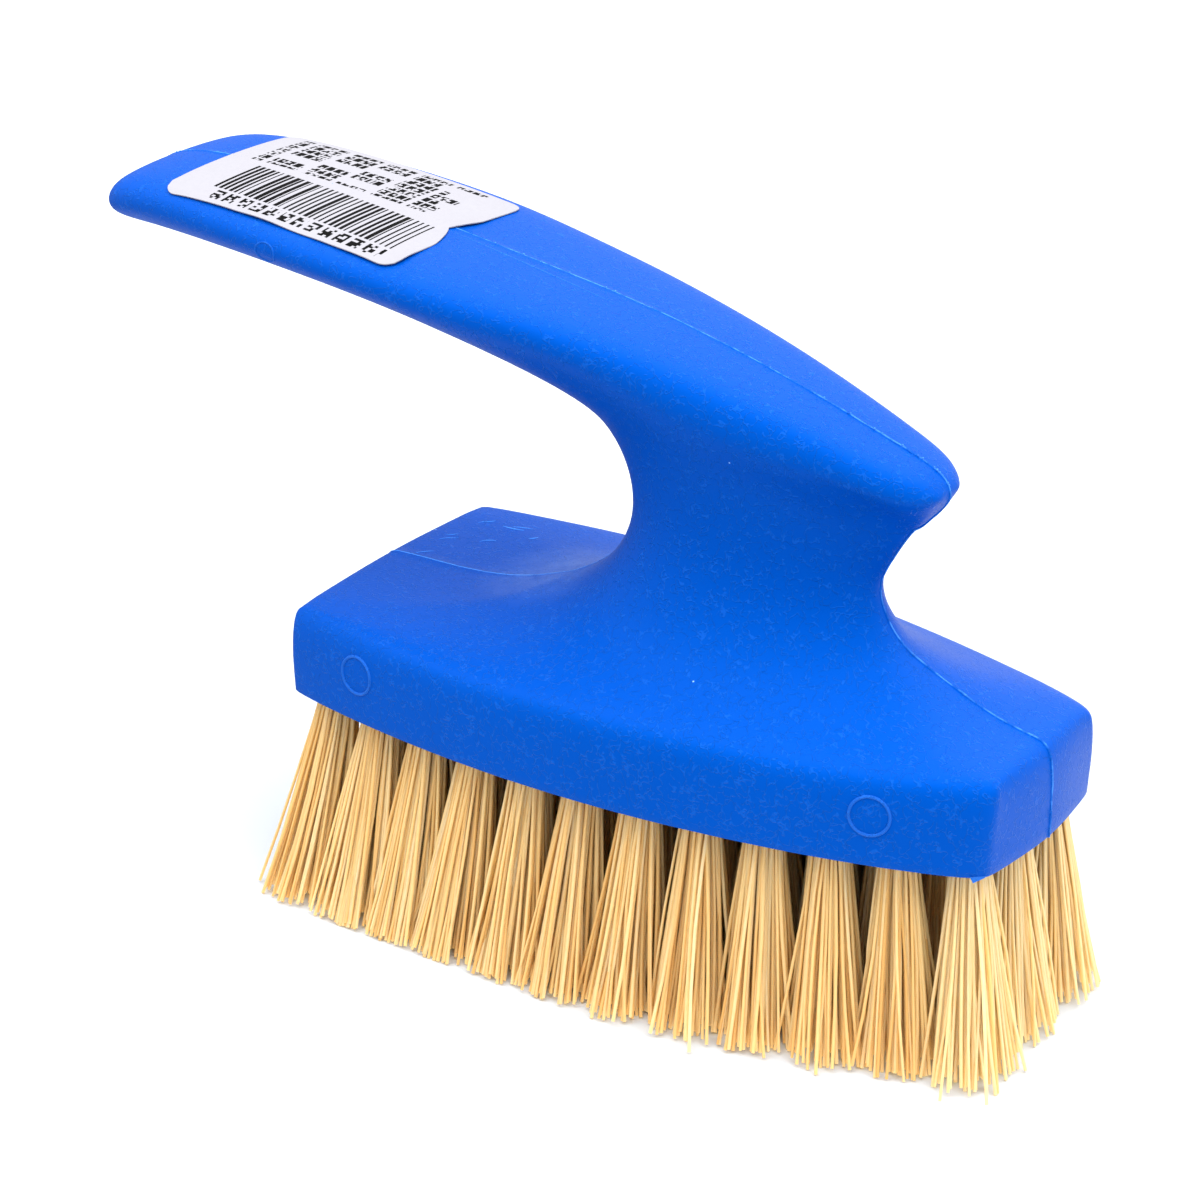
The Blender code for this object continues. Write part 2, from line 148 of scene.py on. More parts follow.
def handle_top(x, top, half, side):
    """Half of a handle section, from the seam over its crown to its widest line."""
    crown = (x, half / 2, top - CROWN / 4)
    return [(x, 0, top), crown, (x, half * SHOULDER_SHARE, top - CROWN), (x, half, side)]


def handle_section(x, top, under, half, under_share=UNDER_SHARE):
    side = max(top - CROWN - EDGE_DEPTH, (top + under) / 2)
    low = under + (side - under) * (1 - under_share)
    return handle_top(x, top, half, side) + [(x, half * under_share, low), (x, 0, under)]


def head_section(x, half, edge, *across, recess=0.0):
    """Half of a head section, from its top over the edge and in under the head."""
    points = [(x - recess * out / half, out, up) for out, up in across]
    points += [(x - recess, half - EDGE_ROLL, edge), (x - recess, half, edge - EDGE_ROLL)]
    ease = CORNER_EASE if recess else 0
    points.append((x - recess - math.copysign(ease, recess), half - ease, UNDERSIDE))
    return points + [(x - recess / 2, half / 2, UNDERSIDE), (x, 0, UNDERSIDE)]


def panel(columns):
    """Grid of faces laid through columns of points in mm."""
    rows = len(columns[0])
    bpy.ops.object.select_all(action="DESELECT")
    bpy.ops.mesh.primitive_grid_add(x_subdivisions=len(columns) - 1, y_subdivisions=rows - 1)
    grid = bpy.context.object
    points = [column[row] for row in range(rows) for column in columns]
    for vertex, point in zip(grid.data.vertices, points):
        vertex.co = Vector(point) * MM
    return grid


def end_cap(column):
    half = len(column) // 2
    return panel([column[:half], column[:half - 1:-1]])


def choose(thing, kind, test):
    """Goes into edit mode with just the vertices, edges or faces selected that pass a test."""
    bpy.ops.object.select_all(action="DESELECT")
    thing.select_set(True)
    bpy.context.view_layer.objects.active = thing
    bpy.ops.object.mode_set(mode="EDIT")
    bpy.ops.mesh.select_mode(type=kind)
    bpy.ops.mesh.select_all(action="DESELECT")
    bpy.ops.object.mode_set(mode="OBJECT")
    mesh = thing.data
    for part in {"VERT": mesh.vertices, "EDGE": mesh.edges, "FACE": mesh.polygons}[kind]:
        part.select = test(part)
    bpy.ops.object.mode_set(mode="EDIT")


def join(things, name):
    """Makes several meshes one, with their places in the mesh."""
    bpy.ops.object.select_all(action="DESELECT")
    for thing in things:
        thing.select_set(True)
    bpy.context.view_layer.objects.active = things[0]
    if len(things) > 1:
        bpy.ops.object.join()
    bpy.ops.object.transform_apply(location=True, rotation=True, scale=True)
    joined = bpy.context.object
    joined.name = name
    joined.data.name = name
    return joined


def apply_modifiers(thing):
    bpy.ops.object.select_all(action="DESELECT")
    thing.select_set(True)
    bpy.context.view_layer.objects.active = thing
    for modifier in list(thing.modifiers):
        bpy.ops.object.modifier_apply(modifier=modifier.name)


tail = [handle_section(*section) for section in TAIL_SECTIONS]
nose = [handle_section(*section, NOSE_UNDER_SHARE) for section in NOSE_SECTIONS]
rear = [head_section(*section) for section in HEAD_REAR[1:]]
rear.insert(0, head_section(*HEAD_REAR[0], recess=-END_RECESS))
front = [head_section(*section) for section in HEAD_NOSE[:-1]]
front.append(head_section(*HEAD_NOSE[-1], recess=END_RECESS))
tops = [handle_top(x, top, half, side) for x, top, side, half in NECK_TOPS]
handle_columns = tail + [top + list(side[:2]) for top, side in zip(tops, NECK_SIDES)] + nose
neck_columns = [list(side[1:]) for side in NECK_SIDES]
foot_columns = [
    [side[-1]] + head_section(*section) for side, section in zip(NECK_SIDES, HEAD_SIDES)
]
neck_columns = [column[:-1] + foot[:1] for column, foot in zip(neck_columns, foot_columns)]
head_columns = rear + foot_columns + front

ends = (handle_columns[0], handle_columns[-1], head_columns[0], head_columns[-1])
panels = [panel(columns) for columns in (head_columns, handle_columns, neck_columns)]
body = join(panels + [end_cap(end) for end in ends], "body_moulding")
choose(body, "VERT", lambda vertex: True)
bpy.ops.mesh.remove_doubles(threshold=MERGE_DISTANCE * MM)
bpy.ops.mesh.normals_make_consistent(inside=False)
bpy.ops.object.mode_set(mode="OBJECT")


def rounded(point):
    return tuple(round(value, 2) for value in point)


def crease_along(line, value):
    """Creases the edges of the body that run along a line of points in mm."""
    pairs = {frozenset((rounded(start), rounded(end))) for start, end in zip(line, line[1:])}
    spots = [rounded(vertex.co / MM) for vertex in body.data.vertices]
    choose(body, "EDGE", lambda edge: frozenset(spots[vertex] for vertex in edge.vertices) in pairs)
    bpy.ops.transform.edge_crease(value=value)
    bpy.ops.object.mode_set(mode="OBJECT")


crease_along([column[5] for column in head_columns], LOWER_CREASE)
for end in ends[2:]:
    crease_along(end[5:], LOWER_CREASE)
    crease_along(end[4:6], CORNER_CREASE)
# Edge of the flat table behind the neck, from the rear end forward and in to the seam
rear_foot = foot_columns[0]
crease_along([column[1] for column in rear] + [rear_foot[1], rear_foot[0]], TABLE_CREASE)

halves = body.modifiers.new("mould halves", "MIRROR")
halves.use_axis = (False, True, False)
halves.use_clip = True
halves.merge_threshold = MERGE_DISTANCE * MM
rounding = body.modifiers.new("rounding", "SUBSURF")
rounding.levels = 3
rounding.render_levels = 3
rim = body.modifiers.new("lower rim", "BEVEL")
rim.width = RIM_RADIUS * MM
rim.segments = 2
rim.limit_method = "ANGLE"
rim.angle_limit = math.radians(50)
apply_modifiers(body)
choose(body, "FACE", lambda face: True)
bpy.ops.mesh.normals_make_consistent(inside=False)
bpy.ops.object.mode_set(mode="OBJECT")


def on_seam(vertex):
    return abs(body.data.vertices[vertex].co.y) < 0.001 * MM


choose(body, "EDGE", lambda edge: all(on_seam(vertex) for vertex in edge.vertices))
bpy.ops.mesh.bevel(offset=SEAM_WIDTH / 2 * MM, segments=2, affect="EDGES")
bpy.ops.object.mode_set(mode="OBJECT")
growth_start, growth_end = SEAM_GROWTH
for vertex in body.data.vertices:
    if on_seam(vertex.index):
        uneven = 1 + SEAM_UNEVEN_SHARE * noise.noise(vertex.co / (SEAM_UNEVEN_LENGTH * MM))
        grown = (vertex.co.x / MM - growth_start) / (growth_end - growth_start)
        grown = SEAM_REAR_SHARE + min(max(grown, 0), 1)
        vertex.co += vertex.normal * SEAM_HEIGHT * MM * uneven * grown

# Middle of each tuft's held end and of its cut end, from its CAD node
END_SLICE = 0.1
tufts = {}
for name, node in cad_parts.items():
    if name.startswith("tuft_"):
        points = [vertex.co for vertex in node.data.vertices]
        deep = max(point.z for point in points)
        held = [point for point in points if point.z > deep - END_SLICE * MM]
        cut = [point for point in points if point.z < END_SLICE * MM]
        tufts[name] = (sum(held, Vector()) / len(held), sum(cut, Vector()) / len(cut))

drills = []
for hole, _ in tufts.values():
    bpy.ops.object.select_all(action="DESELECT")
    bpy.ops.mesh.primitive_cylinder_add(
        vertices=32, radius=HOLE_DIAMETER / 2 * MM, depth=(HOLE_DEPTH + DRILL_OVERRUN) * MM,
        location=(hole.x, hole.y, (UNDERSIDE + (HOLE_DEPTH - DRILL_OVERRUN) / 2) * MM),
    )
    drills.append(bpy.context.object)
drill = join(drills, "drill")
holes = body.modifiers.new("tuft holes", "BOOLEAN")
holes.operation = "DIFFERENCE"
holes.solver = "EXACT"
holes.object = drill
apply_modifiers(body)
bpy.data.objects.remove(drill)


def lay_on(thing, target, forward, side, centre):
    """Bends a flat thing on to a surface: its own z becomes the height over the surface."""
    for vertex in thing.data.vertices:
        flat = centre + forward * vertex.co.x + side * vertex.co.y
        _, seat, normal, _ = target.closest_point_on_mesh(flat)
        vertex.co = seat + normal * vertex.co.z


def raised_line(start, end, radius, bow=0.0):
    """Thin tapered line of plastic on the body between two places, bent sideways, all in mm."""
    start, end = Vector(start) * MM, Vector(end) * MM
    length = (end - start).length
    bpy.ops.object.select_all(action="DESELECT")
    bpy.ops.mesh.primitive_cylinder_add(vertices=6, radius=radius * MM, depth=length)
    bpy.ops.transform.rotate(value=math.radians(90), orient_axis="Y", center_override=(0, 0, 0))
    bpy.ops.object.transform_apply(location=True, rotation=True, scale=True)
    ridge = bpy.context.object
    places = [vertex.co.x for vertex in ridge.data.vertices]
    choose(ridge, "EDGE", lambda edge: places[edge.vertices[0]] * places[edge.vertices[1]] < 0)
    bpy.ops.mesh.subdivide(number_cuts=24)
    bpy.ops.object.mode_set(mode="OBJECT")
    for vertex in ridge.data.vertices:
        fullness = 1 - (2 * vertex.co.x / length) ** 2
        taper = LINE_END_SHARE + (1 - LINE_END_SHARE) * fullness
        vertex.co.y = vertex.co.y * taper + bow * MM * fullness
        vertex.co.z *= taper
    way = (end - start).normalized()
    lay_on(ridge, body, way, Vector((0, 0, 1)).cross(way), (start + end) / 2)
    return ridge


# Marks on the moulding, each with how pale it is rubbed
PIN_MARK_PALENESS = 0.10
WITNESS_PALENESS = 0.22
SCUFF_PALENESS = (0.5, 0.9)
FLASH_PALENESS = 0.18
BEAD_PALENESS = 0.55
marks = []
for place, radius in PIN_MARKS:
    _, centre, normal, _ = body.closest_point_on_mesh(Vector(place) * MM)
    forward = normal.orthogonal().normalized()
    bpy.ops.object.select_all(action="DESELECT")
    bpy.ops.mesh.primitive_torus_add(
        major_radius=radius * MM, minor_radius=PIN_MARK_RIM * radius / PIN_MARK * MM,
        major_segments=44, minor_segments=8,
    )
    marks.append((bpy.context.object, PIN_MARK_PALENESS * radius / PIN_MARK))
    lay_on(bpy.context.object, body, forward, normal.cross(forward), centre)

draw = random.Random(8)
marks.append((raised_line(*WITNESS_LINE, WITNESS_RADIUS), WITNESS_PALENESS))
for start, end in SCUFFS:
    radius = SCUFF_RADIUS * draw.uniform(*SCUFF_SIZE_SHARES)
    scuff = raised_line(start, end, radius, draw.uniform(-SCUFF_BOW, SCUFF_BOW))
    marks.append((scuff, draw.uniform(*SCUFF_PALENESS)))

flake = panel(FLASH)
flake_body = flake.modifiers.new("thickness", "SOLIDIFY")
flake_body.thickness = FLASH_THICKNESS * MM
apply_modifiers(flake)
marks.append((flake, FLASH_PALENESS))

# Small beads of flash that stand at random on the seam's crest high on the handle
crest = [vertex for vertex in body.data.vertices if on_seam(vertex.index)]
crest = [vertex for vertex in crest if vertex.co.z > BEADS_ABOVE * MM and vertex.normal.z > 0.2]
draw = random.Random(5)
for vertex in draw.sample(crest, SEAM_BEADS):
    bpy.ops.object.select_all(action="DESELECT")
    bpy.ops.mesh.primitive_ico_sphere_add(
        subdivisions=1, radius=BEAD_RADIUS * draw.uniform(*BEAD_SIZE_SHARES) * MM,
        location=vertex.co + Vector((0, draw.uniform(-BEAD_OFFSET, BEAD_OFFSET) * MM, 0)),
    )
    marks.append((bpy.context.object, BEAD_PALENESS))

for mark, paleness in marks:
    pale = mark.data.attributes.new("rubbed", "FLOAT", "POINT")
    pale.data.foreach_set("value", [paleness] * len(mark.data.vertices))
body = join([body] + [mark for mark, _ in marks], "body_moulding")
bpy.ops.object.shade_smooth_by_angle(angle=math.radians(30))


def linear(code):
    """Linear colour of an sRGB hex value."""
    shares = [int(code[place:place + 2], 16) / 255 for place in (1, 3, 5)]
    return (*[s / 12.92 if s <= 0.04045 else ((s + 0.055) / 1.055) ** 2.4 for s in shares], 1.0)


def add_node(tree, kind, inputs=None, **settings):
    """Adds a node with its settings. An input is a value, a socket or a node's first output."""
    made = tree.nodes.new("ShaderNode" + kind)
    for name, value in settings.items():
        setattr(made, name, value)
    for name, value in (inputs or {}).items():
        if isinstance(value, bpy.types.Node):
            value = value.outputs[0]
        if isinstance(value, bpy.types.NodeSocket):
            tree.links.new(value, made.inputs[name])
        else:
            made.inputs[name].default_value = value
    return made


def start_material(name):
    """New material with its node tree, its shader and Object coordinates in mm."""
    material = bpy.data.materials.new(name)
    material.use_nodes = True
    tree = material.node_tree
    place = add_node(tree, "TexCoord").outputs["Object"]
    in_mm = add_node(tree, "Mapping", {"Vector": place, "Scale": [1 / MM] * 3})
    return material, tree, tree.nodes["Principled BSDF"], in_mm


def painted(tree, colour, *coats):
    """Colour with coats over it, each given as how far it covers and its colour."""
    for cover, coat in coats:
        mixed = add_node(tree, "Mix", {0: cover, 6: colour, 7: coat}, data_type="RGBA")
        colour = mixed.outputs[2]
    return colour


# Injection moulded polypropylene, satin and slightly waxy. The mould's texture left fine curled
# lines all over it, its seam and marks are rubbed pale, there are a few pale specks, and a pale
# patch at the foot of the neck is a painted reflection. Sizes are in mm.
CURL_SIZE = 1.7
CURL_WIDTH = 0.065
CURL_SWAY = 2.4
SWAYS_PER_MM = 1.1
CURL_BREAK = 0.9
CURL_TINT = 0.08
GRAIN = 0.35
GRAIN_SHARE = 0.25
RELIEF = 0.05
RIDGE_SIDES = (0.03, 0.12)
WORN_PATCH = 1.6
WORN_TINTS = (0.12, 0.65)
TABLE_TINT = 0.75
TABLE_START = (0.0, -8.0)
TABLE_LEVELS = (44.0, 46.0)
SPECK_PITCH = 4.5
SPECK_SHARES = (0.015, 0.035)
# Painted reflection at the foot of the neck: its middle, reach, strength and patch size
PAINTED_SHEEN_PLACE = (-4.0, 2.5, 40.0)
PAINTED_SHEEN_REACH = (2.0, 12.0)
PAINTED_SHEEN_TINT = 0.26
PAINTED_SHEEN_PATCH = 2.5
CLOUD = 22
polypropylene, tree, shader, place = start_material("moulded blue polypropylene")

# The curled lines are the edges of warped cells, with breaks in them
sway = add_node(tree, "TexNoise", {"Vector": place, "Scale": SWAYS_PER_MM, "Detail": 0.0})
swayed = add_node(
    tree, "VectorMath", {0: sway.outputs["Color"], 1: [CURL_SWAY] * 3, 2: place},
    operation="MULTIPLY_ADD",
)
curl_cells = add_node(
    tree, "TexVoronoi", {"Vector": swayed, "Scale": 1 / CURL_SIZE}, feature="DISTANCE_TO_EDGE",
)
curl_line = add_node(tree, "MapRange", {0: curl_cells, 1: 0.3 * CURL_WIDTH, 2: CURL_WIDTH, 3: 1, 4: 0})
breaks = add_node(tree, "TexNoise", {"Vector": place, "Scale": 1 / CURL_BREAK})
unbroken = add_node(tree, "MapRange", {0: breaks, 1: 0.38, 2: 0.48})
curls = add_node(tree, "Math", {0: curl_line, 1: unbroken}, operation="MULTIPLY")
grain = add_node(tree, "TexNoise", {"Vector": place, "Scale": 1 / GRAIN, "Detail": 3.0})
skin = add_node(tree, "Math", {0: grain, 1: GRAIN_SHARE, 2: curls}, operation="MULTIPLY_ADD")
relief = add_node(tree, "Bump", {"Height": skin, "Distance": RELIEF * MM, "Strength": 1.0})

# The seam is rubbed in patches, and all along where it crosses the table behind the neck
axes = add_node(tree, "SeparateXYZ", {0: place})
beside = add_node(tree, "Math", {0: axes.outputs["Y"]}, operation="ABSOLUTE")
ridge = add_node(tree, "MapRange", {0: beside, 1: RIDGE_SIDES[0], 2: RIDGE_SIDES[1], 3: 1, 4: 0})
patches = add_node(tree, "TexNoise", {"Vector": place, "Scale": 1 / WORN_PATCH, "Detail": 3.0})
worn = add_node(tree, "MapRange", {0: patches, 1: 0.42, 2: 0.58, 3: WORN_TINTS[0], 4: WORN_TINTS[1]})
behind = add_node(
    tree, "MapRange",
    {0: axes.outputs["X"], 1: TABLE_START[0], 2: TABLE_START[1], 3: 0, 4: TABLE_TINT},
)
low_down = add_node(
    tree, "MapRange", {0: axes.outputs["Z"], 1: TABLE_LEVELS[0], 2: TABLE_LEVELS[1], 3: 1, 4: 0},
)
on_table = add_node(tree, "Math", {0: low_down, 1: behind}, operation="MULTIPLY")
worn = add_node(tree, "Math", {0: worn, 1: on_table}, operation="MAXIMUM")
rubbed_seam = add_node(tree, "Math", {0: ridge, 1: worn}, operation="MULTIPLY")
rubbed_mark = add_node(tree, "Attribute", attribute_name="rubbed").outputs["Fac"]
rubbed = add_node(tree, "Math", {0: rubbed_seam, 1: rubbed_mark}, operation="MAXIMUM")

speck_cells = add_node(tree, "TexVoronoi", {"Vector": place, "Scale": 1 / SPECK_PITCH})
speck_chance = add_node(tree, "SeparateColor", {0: speck_cells.outputs["Color"]})
speck = add_node(tree, "MapRange", {0: speck_cells, 1: SPECK_SHARES[0], 2: SPECK_SHARES[1], 3: 1, 4: 0})
has_speck = add_node(tree, "MapRange", {0: speck_chance, 1: 0.45, 2: 0.5})
specks = add_node(tree, "Math", {0: speck, 1: has_speck}, operation="MULTIPLY")

# Painted reflection: a soft pale patch of sheen at the foot of the neck, broken into patches
to_painted_sheen = add_node(tree, "VectorMath", {0: place, 1: PAINTED_SHEEN_PLACE}, operation="DISTANCE")
near_painted_sheen = add_node(
    tree, "MapRange",
    {0: to_painted_sheen.outputs["Value"], 1: PAINTED_SHEEN_REACH[0], 2: PAINTED_SHEEN_REACH[1], 3: PAINTED_SHEEN_TINT, 4: 0},
)
painted_sheen_patches = add_node(tree, "TexNoise", {"Vector": place, "Scale": 1 / PAINTED_SHEEN_PATCH, "Detail": 4.0})
painted_sheen = add_node(tree, "Math", {0: near_painted_sheen, 1: painted_sheen_patches}, operation="MULTIPLY")

cloud = add_node(tree, "TexNoise", {"Vector": place, "Scale": 1 / CLOUD})
pale_curls = add_node(tree, "Math", {0: curls, 1: CURL_TINT}, operation="MULTIPLY")
colour = painted(
    tree, linear("#0048AA"), (cloud, linear("#004BB1")), (pale_curls, linear("#3C92FF")),
    (rubbed, linear("#5FA8FF")), (specks, linear("#8FC0FF")), (painted_sheen, linear("#9CC0FF")),
)
gloss = add_node(tree, "MapRange", {0: grain, 1: 0.3, 2: 0.7, 3: 0.33, 4: 0.43})
tree.links.new(colour, shader.inputs["Base Color"])
tree.links.new(gloss.outputs["Result"], shader.inputs["Roughness"])
tree.links.new(relief.outputs["Normal"], shader.inputs["Normal"])
shader.inputs["IOR"].default_value = 1.49
shader.inputs["Specular IOR Level"].default_value = 0.14
shader.inputs["Specular Tint"].default_value = linear("#2E7CFF")
body.data.materials.clear()
body.data.materials.append(polypropylene)
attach(body, "root")
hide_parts("moulded_body")

# Tufts
# Each tuft is a bunch of stiff plant fibre, folded over a wire and driven into its hole, so that
# its ends stand out of the head in a sheaf that spreads towards the flat cut tips.

FIBRES = 140
FIBRE_DIAMETER = 0.44
ROOT_RADIUS = 2.15
TIP_RADIUS = 4.8
ROOT_DEPTH = 3.0
HEIGHTS = (UNDERSIDE + ROOT_DEPTH, UNDERSIDE, 21.0, 14.0, 7.0, 0.0)
STRAY_SHARE = 0.02
END_STRAY_SHARE = 0.10
THICKNESS_SHARES = (0.8, 1.15)
GOLDEN_ANGLE = 2.39996
ANGLE_SPREAD = 0.3
SPLAY_POWER = 1.08
LOOSE = 0.6
STRAY_LOOSE = 2.0
BOW = 0.25
# A fibre ends a gap over the table, or more by a random height with this spread and a limit
TIP_GAP = 0.1
TIP_SPREAD = 0.5
TIP_MOST = 1.5
# Tufts in front of this place spread wider across the brush; their paler tone is painted light
NOSE_TUFTS = 58
NOSE_WIDENING = 1.35
NOSE_PAINTED_LIGHT_TONE = 0.85
TONE = 0.45
TONE_SPREAD = 0.22
# How far the tips of the near outer row lean along the brush and outwards, from its rear end. Those
# of the near inner row lean by a share of it.
INNER_LEAN_SHARE = 0.5
LEANS = (
    (0.8, 4.6), (2.4, 4.4), (1.4, 2.8), (0.3, 1.8), (0.8, 1.4), (0.4, 1.1),
    (0.4, 0.9), (0.8, 0.9), (1.0, 0.6), (1.0, 0.6), (0.8, 0.4), (1.0, 0.3),
)
# Box that the fibres keep within: rear, right, nose and left
REACH = (-66.0, -27.6, 70.0, 27.6)

# Dried plant fibre: hard, smooth and shining along its length, from golden to pale straw, with
# fine darker streaks. Some light passes through, which keeps its shade warm.
STREAKS_PER_MM = (3.0, 3.0, 0.2)
STREAK_TINT = 0.3
STREAK_RELIEF = 0.02
THROUGH_SHARE = 0.45
straw, tree, shader, place = start_material("straw coloured plant fibre")
tone = add_node(tree, "Attribute", attribute_name="fibre_tone")
ramp = add_node(tree, "ValToRGB", {"Fac": tone.outputs["Fac"]})
ramp.color_ramp.elements[0].color = linear("#EFC87C")
ramp.color_ramp.elements[1].color = linear("#FFF1C6")
half_tone = ramp.color_ramp.elements.new(0.4)
half_tone.color = linear("#FDE4A4")
streak_place = add_node(tree, "Mapping", {"Vector": place, "Scale": STREAKS_PER_MM})
streak = add_node(tree, "TexNoise", {"Vector": streak_place, "Scale": 1.0, "Detail": 3.0})
streak_tint = add_node(tree, "MapRange", {0: streak, 1: 0.3, 2: 0.7, 3: 0, 4: STREAK_TINT})
mottled = painted(tree, ramp, (streak_tint, linear("#F4CF80")))
ridged = add_node(tree, "Bump", {"Height": streak, "Distance": STREAK_RELIEF * MM, "Strength": 0.5})
tree.links.new(mottled, shader.inputs["Base Color"])
tree.links.new(ridged.outputs["Normal"], shader.inputs["Normal"])
shader.inputs["Roughness"].default_value = 0.30
shader.inputs["Specular IOR Level"].default_value = 0.75
through = add_node(tree, "BsdfTranslucent", {"Color": mottled})
both = add_node(tree, "MixShader", {0: THROUGH_SHARE, 1: shader, 2: through})
tree.links.new(both.outputs["Shader"], tree.nodes["Material Output"].inputs["Surface"])


def fibre_path(hole, tip, share, angle, widening, stray_share, draw):
    """Points of one fibre, in mm, from inside its hole to its cut tip."""
    round_way = Vector((math.cos(angle), math.sin(angle), 0))
    root = Vector((hole.x, hole.y, 0)) / MM + round_way * ROOT_RADIUS * share
    spread = Vector((round_way.x, round_way.y * widening, 0)) * TIP_RADIUS * share
    end = Vector((tip.x, tip.y, 0)) / MM + spread
    loose = LOOSE if draw.random() > stray_share else STRAY_LOOSE
    end += Vector((draw.gauss(0, loose), draw.gauss(0, loose), 0))
    end.x = min(max(end.x, REACH[0]), REACH[2])
    end.y = min(max(end.y, REACH[1]), REACH[3])
    bow = Vector((draw.gauss(0, BOW), draw.gauss(0, BOW), 0))
    lift = TIP_GAP + min(abs(draw.gauss(0, TIP_SPREAD)), TIP_MOST)
    points = []
    for height in HEIGHTS:
        fall = max(UNDERSIDE - height, 0) / UNDERSIDE
        point = root + (end - root) * fall ** SPLAY_POWER + bow * math.sin(math.pi * fall)
        points.append(Vector((point.x, point.y, max(height, lift))))
    return points


for number, (name, (hole, tip)) in enumerate(sorted(tufts.items())):
    draw = random.Random(number)
    at_end = name[-2:] == "01"
    at_nose = tip.x > NOSE_TUFTS * MM
    widening = NOSE_WIDENING if at_nose else 1.0
    stray_share = END_STRAY_SHARE if at_end or at_nose else STRAY_SHARE
    if "right" in name:
        along, out = LEANS[int(name[-2:]) - 1]
        tip += Vector((along, -out, 0)) * MM * (1.0 if "outer" in name else INNER_LEAN_SHARE)
    curve = bpy.data.curves.new("fibres", "CURVE")
    curve.dimensions = "3D"
    curve.bevel_depth = FIBRE_DIAMETER / 2 * MM
    curve.bevel_resolution = 1
    curve.use_fill_caps = True
    tones = []
    for count in range(FIBRES):
        share = math.sqrt((count + draw.random()) / FIBRES)
        angle = count * GOLDEN_ANGLE + draw.uniform(-ANGLE_SPREAD, ANGLE_SPREAD)
        points = fibre_path(hole, tip, share, angle, widening, stray_share, draw)
        spline = curve.splines.new("POLY")
        spline.points.add(len(points) - 1)
        thickness = draw.uniform(*THICKNESS_SHARES)
        for knot, point in zip(spline.points, points):
            knot.co = (*(point * MM), 1)
            knot.radius = thickness
        # Tufts at the nose get a paler tone as painted light
        tones.append(min(max(draw.gauss(NOSE_PAINTED_LIGHT_TONE if at_nose else TONE, TONE_SPREAD), 0), 1))
    tuft = bpy.data.objects.new(name.replace("tuft", "fibres"), curve)
    bpy.context.scene.collection.objects.link(tuft)
    bpy.ops.object.select_all(action="DESELECT")
    tuft.select_set(True)
    bpy.context.view_layer.objects.active = tuft
    bpy.ops.object.convert(target="MESH")
    tuft = bpy.context.object
    each = len(tuft.data.vertices) // FIBRES
    toned = tuft.data.attributes.new("fibre_tone", "FLOAT", "POINT")
    toned.data.foreach_set("value", [value for value in tones for _ in range(each)])
    tuft.data.materials.clear()
    tuft.data.materials.append(straw)
    bpy.ops.object.shade_smooth()
    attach(tuft, "root")
    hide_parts(name)

# Label
# A die-cut label of coated white paper with rounded corners, stuck over the top of the handle. Its
# near edge and its front end have come slightly off the plastic in places.

LABEL_LENGTH = 35.9
LABEL_WIDTH = 26.8
LABEL_CORNER = 2.2
LABEL_END = -53.4
LABEL_OFFSET = -0.5
LABEL_DIP = 1.7
LABEL_TURN = -1.3
DIP_SHARE = 0.5
DROP_HEIGHT = 100
PAPER = 0.12
GLUE = 0.04
LIFT = 0.35
NEAR_LIFT_WIDTH = 2.5
END_LIFT_WIDTH = 3.0
# Print: each field as its start and end along the label, then across it, and the pitches of bars,
# rows, marks, letters and words
BAR_PITCH = 0.78
BAR_SHARES = (0.22, 0.88)
BAR_FIELD = (5.5, 33.0, 3.6, 12.2)
ROW_PITCH = 1.80
ROW_FIELD = (3.0, 33.0, 13.4, 24.4)
ROW_SLOPE = 0.05
ROW_RAG = 9
MARK_PITCH = 0.40
STROKE_PITCH = 0.42
LETTER_PITCH = 1.20
WORD_PITCH = 5.3
BIG_FIELD = (6.8, 33.0, 0.9, 3.1)
BIG_PITCH = 2.15
BIG_MARK = 0.44
PULP = 0.6
PULP_RELIEF = 0.01

bpy.ops.object.select_all(action="DESELECT")
bpy.ops.mesh.primitive_grid_add(x_subdivisions=120, y_subdivisions=90, calc_uvs=True)
label = bpy.context.object
turn = Matrix.Rotation(math.radians(LABEL_TURN), 2)
label_shares = [(vertex.co.x / 2 + 0.5, vertex.co.y / 2 + 0.5) for vertex in label.data.vertices]
print_shares = []
for vertex, (along, over) in zip(label.data.vertices, label_shares):
    across = 2 * over - 1
    from_end = LABEL_LENGTH * min(along, 1 - along)
    short = LABEL_CORNER - math.sqrt(LABEL_CORNER ** 2 - max(LABEL_CORNER - from_end, 0) ** 2)
    dip = LABEL_DIP * max(1 - abs(across) / DIP_SHARE, 0) ** 2
    flat = Vector((along * (LABEL_LENGTH - dip) - LABEL_LENGTH / 2, across * (LABEL_WIDTH / 2 - short)))
    print_shares.append((flat.x / LABEL_LENGTH + 0.5, flat.y / LABEL_WIDTH + 0.5))
    flat = turn @ flat
    flat = Vector((flat.x + LABEL_END + LABEL_LENGTH / 2, flat.y + LABEL_OFFSET, DROP_HEIGHT))
    vertex.co = flat * MM
# The print lies flat on the sheet, so the cut outline doesn't bend it
for corner, place in zip(label.data.loops, label.data.uv_layers.active.data):
    place.uv = print_shares[corner.vertex_index]
label = join([label], "handle_label")
stuck = label.modifiers.new("stuck on", "SHRINKWRAP")
stuck.target = body
stuck.wrap_method = "PROJECT"
stuck.use_project_z = True
stuck.use_negative_direction = True
stuck.use_positive_direction = False
stuck.offset = GLUE * MM
apply_modifiers(label)
for vertex, (along, over) in zip(label.data.vertices, label_shares):
    near = max(1 - over * LABEL_WIDTH / NEAR_LIFT_WIDTH, 0) ** 2
    near *= 0.7 + noise.noise(vertex.co / (7 * MM))
    end = max(1 - (1 - along) * LABEL_LENGTH / END_LIFT_WIDTH, 0) ** 2
    end *= 0.5 + noise.noise(vertex.co / (4 * MM))
    vertex.co.z += LIFT * max(near, end, 0) * MM
thick = label.modifiers.new("paper", "SOLIDIFY")
thick.thickness = PAPER * MM
thick.offset = 1
apply_modifiers(label)
bpy.ops.object.shade_smooth_by_angle(angle=math.radians(40))

